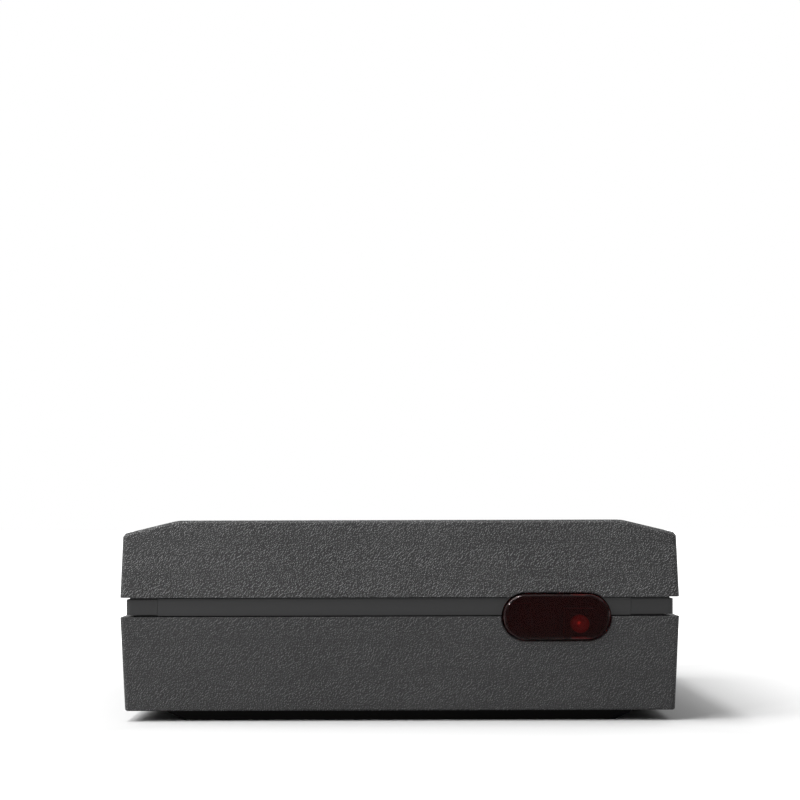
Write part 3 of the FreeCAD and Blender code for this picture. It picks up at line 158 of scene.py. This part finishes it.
def bump(tree, height, distance):
    return node(tree, "Bump", {"Height": height, "Distance": distance, "Strength": 1.0})


def streaks_at(tree, shift):
    return noise(tree, STREAK, detail=1.0, lean=STREAK_LEAN, twist=STREAK_TWIST, shift=shift)


def moulded(name, dark, light, depth, level=0.12, contrast=0.20, roughness=0.42, specular=0.4):
    """A moulded shell with a fine leaning grain: painted relief shading, with each streak's flank
    toward the upper left lighter and the other darker, and a little random unevenness of tone.
    """
    material, tree = new_material(name)
    streaks = streaks_at(tree, NO_SHIFT)
    height = add_up(tree, streaks, noise(tree, GRIT, detail=0.0), GRIT_SHARE)
    # Painted relief shading: the streaks less the same streaks a step along the light, with a little
    # random tone added to it for the colour
    painted_relief_shade = add_up(tree, streaks, streaks_at(tree, ALONG_LIGHT), -1.0)
    lit_flank_mask = spread(tree, painted_relief_shade, level - contrast, level + contrast)
    painted_relief_and_tone = add_up(tree, lit_flank_mask, noise(tree, CLOUD, detail=3.0, rough=0.55), CLOUD_SHARE)
    principled(tree, {
        "Base Color": mix(tree, spread(tree, painted_relief_and_tone, 0.0, 1.0 + CLOUD_SHARE), dark, light),
        "Roughness": spread(tree, lit_flank_mask, 0.0, 1.0, roughness + SHADED_FLANK_DULLER, roughness - LIT_FLANK_GLOSSIER),
        "Specular IOR Level": spread(tree, lit_flank_mask, 0.0, 1.0, specular * SHADED_FLANK_SPECULAR, specular),
        "Normal": bump(tree, height, depth)})
    return material


def smooth(name, dark, light, roughness, specular=0.4, depth=0.000004, grain=FINE):
    """A plain moulded surface: faint unevenness of colour, gloss and level."""
    material, tree = new_material(name)
    fine = noise(tree, grain, detail=3.0, rough=0.6)
    tone = add_up(tree, noise(tree, BROAD), fine, FINE_SHARE)
    principled(tree, {
        "Base Color": mix(tree, spread(tree, tone, *TONE_RANGE), dark, light),
        "Roughness": spread(tree, tone, *TONE_GLOSS_RANGE, roughness - GLOSSIER, roughness + DULLER),
        "Specular IOR Level": specular, "Normal": bump(tree, fine, depth)})
    return material


def turned(name, dark, light, roughness):
    """Plated metal with the fine rings that turning leaves, and a few duller spots."""
    material, tree = new_material(name)
    rings = noise(tree, RING, detail=1.0)
    spots = noise(tree, SPOT, detail=3.0, rough=0.6)
    sheen = add_up(tree, spots, rings, RING_SHARE)
    principled(tree, {
        "Base Color": mix(tree, spread(tree, spots, *SPOT_RANGE), dark, light), "Metallic": 1.0,
        "Roughness": spread(tree, sheen, *SPOT_GLOSS_RANGE, roughness + DULLER, roughness - GLOSSIER),
        "Normal": bump(tree, rings, RING_DEPTH)})
    return material


def tinted_window(name):
    """Dark red moulded acrylic: clear enough to show the lamp behind it."""
    material, tree = new_material(name)
    haze = noise(tree, WINDOW_HAZE)
    facing = add(tree, "SeparateXYZ", {0: node(tree, "TexCoord", output="Normal")}).outputs["Y"]
    principled(tree, {
        "Base Color": mix(tree, haze, (0.20, 0.018, 0.015), (0.23, 0.021, 0.018)),
        "Roughness": spread(tree, haze, *HAZE_RANGE, 0.02, 0.04),
        "Specular Tint": mix(tree, spread(tree, facing, *EDGE_TURN), FACE_TINT, EDGE_TINT),
        "Transmission Weight": 0.98, "IOR": 1.49, "Normal": bump(tree, haze, WINDOW_DEPTH)})
    return material


def clear_red(name, body):
    """The lamp's epoxy body, unlit: a faint painted glow in it, and a painted highlight as a brighter
    glow up and to the left of its middle.
    """
    material, tree = new_material(name)
    haze = noise(tree, LAMP_HAZE)
    low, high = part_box(body)
    # The painted highlight's place, on the lamp's front, up and to the left of its middle
    front = Vector(((low.x + high.x) / 2 + HIGHLIGHT_SIDE, low.y, (low.z + high.z) / 2 + HIGHLIGHT_UP))
    highlight_spot = frame["nodes"][body].matrix_world.inverted() @ front
    off_highlight = node(tree, "VectorMath", {0: place_on(tree), 1: tuple(highlight_spot)}, output="Value",
                    operation="DISTANCE")
    principled(tree, {
        "Base Color": mix(tree, haze, (0.80, 0.10, 0.08), (0.95, 0.17, 0.13)),
        "Roughness": spread(tree, haze, *HAZE_RANGE, 0.10, 0.14), "Specular IOR Level": 0.6,
        "Emission Color": (1.0, 0.40, 0.36, 1.0),
        # Painted highlight and glow: the emission is strongest at the highlight spot and faint over the
        # rest
        "Emission Strength": spread(tree, off_highlight, *HIGHLIGHT_RADII, PAINTED_HIGHLIGHT_GLOW, PAINTED_LAMP_GLOW),
        "Subsurface Weight": 0.4, "Subsurface Scale": 0.001, "Subsurface Radius": (1.0, 0.2, 0.1)})
    return material


def board(name):
    """Solder resist over copper tracks: the tracks stand a little proud and show a little paler."""
    material, tree = new_material(name)
    lanes = node(tree, "TexVoronoi", {"Vector": place_on(tree, TRACK), "Scale": 1.0,
                                      "Randomness": 0.35}, distance="MANHATTAN")
    track = spread(tree, lanes, *TRACK_RANGE)
    principled(tree, {
        "Base Color": mix(tree, track, (0.016, 0.115, 0.040), (0.030, 0.170, 0.062)),
        "Roughness": spread(tree, noise(tree, WEAVE), *HAZE_RANGE, 0.32, 0.45),
        "Specular IOR Level": 0.5, "Normal": bump(tree, track, TRACK_DEPTH)})
    return material


# The finish of each material slot: its name, its darker and its lighter colour, and how rough it is
FINISHES = {
    # The cover's grain spans a wider range, darker to lighter, than the case's: painted light, standing
    # for the stronger grazing light on the cover's upturned front
    "cover_plastic": moulded("cover_grain_painted_relief", (0.0105, 0.0105, 0.0108), (0.133, 0.133, 0.135),
                             depth=0.00016, level=0.145, contrast=0.06, roughness=0.36, specular=0.75),
    "case_plastic": moulded("case_grain_painted_relief", (0.0243, 0.0243, 0.0247), (0.108, 0.108, 0.110),
                            depth=0.00012, level=0.165, contrast=0.11, specular=0.6),
    "belt_plastic": smooth("belt_satin", (0.019, 0.019, 0.0194), (0.0225, 0.0225, 0.0233), 0.45,
                           specular=0.3),
    "strip_plastic": smooth("strip_satin", (0.021, 0.021, 0.0214), (0.025, 0.025, 0.0258), 0.42,
                            specular=0.3),
    "window_plastic": tinted_window("window_acrylic"),
    "foot_rubber": smooth("foot_rubber_bloom", (0.004, 0.0038, 0.0037), (0.007, 0.0066, 0.0065), 0.75,
                          specular=0.08, depth=0.00001, grain=0.0004),
    "panel_plastic": moulded("panel_grain_painted_relief", (0.014, 0.014, 0.015), (0.032, 0.032, 0.033),
                             depth=0.00002, roughness=0.5),
    "control_black": smooth("control_satin_black", (0.012, 0.012, 0.012), (0.018, 0.018, 0.018), 0.40),
    "control_grey": smooth("control_satin_grey", (0.22, 0.22, 0.23), (0.27, 0.27, 0.28), 0.42),
    "screw_steel": turned("screw_zinc", (0.30, 0.30, 0.31), (0.44, 0.44, 0.45), 0.32),
    "tin_plate": turned("tinned_sheet", (0.52, 0.52, 0.50), (0.66, 0.66, 0.64), 0.30),
    "nickel_plate": turned("nickel_turned", (0.62, 0.60, 0.56), (0.74, 0.72, 0.68), 0.18),
    "contact_brass": turned("brass_turned", (0.62, 0.43, 0.16), (0.78, 0.58, 0.27), 0.20),
    "insert_red": smooth("insert_red_gloss", (0.50, 0.015, 0.015), (0.62, 0.025, 0.022), 0.28,
                         specular=0.5),
    "insert_white": smooth("insert_white_gloss", (0.70, 0.70, 0.68), (0.78, 0.78, 0.75), 0.30,
                           specular=0.5),
    "lamp_red": clear_red("lamp_epoxy_painted_glow", "status_lamp"),
    "board_green": board("board_resist"),
    "part_black": smooth("part_epoxy_black", (0.016, 0.016, 0.016), (0.026, 0.026, 0.026), 0.48),
    "capacitor_sleeve": smooth("sleeve_gloss", (0.015, 0.020, 0.050), (0.024, 0.030, 0.072), 0.25,
                               specular=0.5),
}

for piece in frame["record"]["subparts"]:
    for slot in frame["nodes"][piece["node"]].material_slots:
        slot.material = FINISHES[piece["material_slot"]]


def seen_or_mirrored(tree):
    """1 where the camera, a mirror or glass looks straight at the room, and 0 for scattered light."""
    ray = add(tree, "LightPath").outputs
    looks = reckon(tree, "MAXIMUM", ray["Is Camera Ray"], ray["Is Glossy Ray"])
    looks = reckon(tree, "MAXIMUM", looks, ray["Is Transmission Ray"])
    return reckon(tree, "SUBTRACT", looks, ray["Diffuse Depth"], use_clamp=True)


def make_room():
    """A white room for what looks at it, and a dimmer one that lights the part from all sides."""
    world = bpy.data.worlds.new("studio")
    world.use_nodes = True
    scene.world = world
    tree = world.node_tree
    tree.nodes.clear()
    dim, white = (node(tree, "Background", {"Color": WHITE, "Strength": strength})
                  for strength in (ROOM_LIGHT, 1.0))
    both = node(tree, "MixShader", {0: seen_or_mirrored(tree), 1: dim, 2: white})
    add(tree, "OutputWorld", {"Surface": both})


def make_floor():
    """A plain pale floor: it takes the part's shadow, and farther out a glow makes it white."""
    corners = [(x * FLOOR_HALF, y * FLOOR_HALF, 0) for x, y in ((-1, -1), (1, -1), (1, 1), (-1, 1))]
    mesh = bpy.data.meshes.new("floor")
    mesh.from_pydata(corners, [], [(0, 1, 2, 3)])
    floor = bpy.data.objects.new("floor", mesh)
    scene.collection.objects.link(floor)
    material, tree = new_material("floor_white")
    seen = seen_or_mirrored(tree)
    plain = node(tree, "BsdfDiffuse", {"Color": mix(tree, seen, FLOOR_SCATTER, FLOOR_SEEN)})
    # The glow goes by how far out a place is to the side or to the front, whichever is more
    place = node(tree, "VectorMath", {0: node(tree, "TexCoord", output="Object")}, operation="ABSOLUTE")
    out = add(tree, "SeparateXYZ", {0: place}).outputs
    away = reckon(tree, "MAXIMUM", out["X"], reckon(tree, "SUBTRACT", out["Y"], FRONT_SHADE))
    strength = reckon(tree, "MULTIPLY", seen, spread(tree, away, *GLOW_RANGE))
    glow = node(tree, "Emission", {"Color": WHITE, "Strength": strength})
    show(tree, node(tree, "AddShader", {0: plain, 1: glow}))
    mesh.materials.append(material)


def place_lamp(name, light, direction):
    lamp = bpy.data.objects.new(name, light)
    scene.collection.objects.link(lamp)
    lamp.rotation_euler = Vector(direction).to_track_quat("-Z", "Y").to_euler()
    return lamp


def sun(name, towards, strength, width):
    """An even light from far away; towards points from the part to the light, width is in degrees."""
    light = bpy.data.lights.new(name, "SUN")
    light.energy = strength
    light.angle = math.radians(width)
    place_lamp(name, light, -Vector(towards))


def softbox(name, place, target, size, power):
    """A rectangular light that the camera doesn't see, in metres and watts."""
    light = bpy.data.lights.new(name, "AREA")
    light.shape = "RECTANGLE"
    light.size, light.size_y = size
    light.energy = power
    lamp = place_lamp(name, light, Vector(target) - Vector(place))
    lamp.location = place
    lamp.visible_camera = False


def make_camera():
    lens = bpy.data.cameras.new("photo_view")
    lens.sensor_width = SENSOR
    lens.lens = SENSOR * FOCAL / PICTURE
    lens.shift_x = (PICTURE / 2 - CENTRE) / PICTURE
    lens.shift_y = (HORIZON - PICTURE / 2) / PICTURE
    lens.clip_start = NEAREST
    camera = bpy.data.objects.new("photo_view", lens)
    camera.location = EYE
    camera.rotation_euler = (math.radians(90), math.radians(ROLL), 0)
    scene.collection.objects.link(camera)
    scene.camera = camera


make_camera()
make_room()
make_floor()
sun("key_from_left", towards=(-0.54, -0.12, 0.85), strength=2.5, width=48)
softbox("front_box_left", place=(-0.165, -0.300, 0.168), target=(0.0, -0.03, 0.016),
        size=(0.030, 0.030), power=0.24)
softbox("left_box", place=(-0.27, -0.19, 0.17), target=(0.0, -0.045, 0.02),
        size=(0.14, 0.14), power=0.42)
softbox("top_strip", place=(-0.10, -0.04, 0.40), target=(-0.02, -0.045, 0.033),
        size=(0.25, 0.05), power=0.75)
softbox("back_box_right", place=(0.22, 0.34, 0.42), target=(0.0, 0.04, 0.016),
        size=(0.30, 0.30), power=0.6)

scene.view_settings.view_transform = "Standard"
